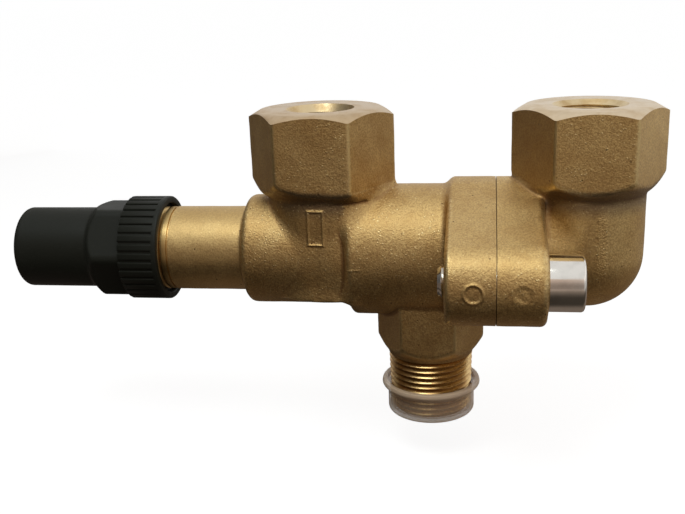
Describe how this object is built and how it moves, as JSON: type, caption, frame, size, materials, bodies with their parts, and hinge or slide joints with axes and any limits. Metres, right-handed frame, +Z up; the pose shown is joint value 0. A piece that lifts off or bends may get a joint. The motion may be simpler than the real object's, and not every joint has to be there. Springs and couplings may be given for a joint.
{
  "type": "changeover valve",
  "caption": "Forged brass changeover valve with a threaded inlet below, a screwed spindle under a black grip cap and hexagonal outlet ports above, one on a bolted-on elbow.",
  "frame": {"origin": "centre of the inlet's end face, at the lower end of its male thread", "axes": "+Z up the inlet's axis, +X along the main axis from the spindle cap towards the elbow, -Y the front"},
  "size_m": [0.2037, 0.0909, 0.0986],
  "materials": {
    "forged_brass": "shot-blasted forging with machined faces",
    "turned_brass": "turned",
    "plated_steel": "bright zinc plated",
    "spindle_steel": "turned",
    "white_seal": "smooth",
    "packing": "matte",
    "gasket": "matte",
    "black_plastic": "moulded, fine satin",
    "clear_plastic": "thin translucent"
  },
  "bodies": {
    "valve": {"valve_body": "forged_brass", "valve_body_chamber": "forged_brass", "valve_body_inlet": "forged_brass", "outlet_elbow": "forged_brass", "flange_gasket": "gasket", "flange_screw_front": "plated_steel", "flange_screw_rear": "plated_steel", "packing_washer": "turned_brass", "packing_ring_inner": "packing", "packing_ring_middle": "packing", "packing_ring_outer": "packing", "gland_follower": "turned_brass", "gland_nut": "turned_brass"},
    "shutter": {"shutter": "turned_brass", "seat_seal_left": "white_seal", "seat_seal_right": "white_seal"},
    "spindle": {"spindle": "spindle_steel", "thrust_washer": "spindle_steel", "shutter_clip": "spindle_steel"},
    "cap_seal": {"cap_seal": "gasket"},
    "cap": {"spindle_cap": "black_plastic"},
    "protector": {"thread_protector": "clear_plastic"}
  },
  "joints": [
    {"name": "shutter_slide", "type": "slide", "parent": "valve", "child": "shutter", "axis": [1, 0, 0], "range_m": [-0.0099, 0.0099]},
    {"name": "spindle_turn", "type": "hinge", "parent": "shutter", "child": "spindle", "pos_m": [-0.1, 0, 0.0526], "axis": [1, 0, 0], "range_deg": [-2376, 2376]},
    {"name": "cap_slide", "type": "slide", "parent": "valve", "child": "cap_seal", "axis": [-1, 0, 0], "range_m": [0, 0.0103]},
    {"name": "cap_turn", "type": "hinge", "parent": "cap_seal", "child": "cap", "pos_m": [-0.11, 0, 0.0526], "axis": [-1, 0, 0], "range_deg": [0, 1854]},
    {"name": "protector_pull", "type": "slide", "parent": "valve", "child": "protector", "axis": [0, 0, -1], "range_m": [0, 0.012]}
  ],
  "couplings": [
    {"joint": "spindle_turn", "follows": "shutter_slide", "rad_per_m": 4188.8},
    {"joint": "cap_slide", "follows": "cap_turn", "m_per_rad": 0.0003183}
  ]
}
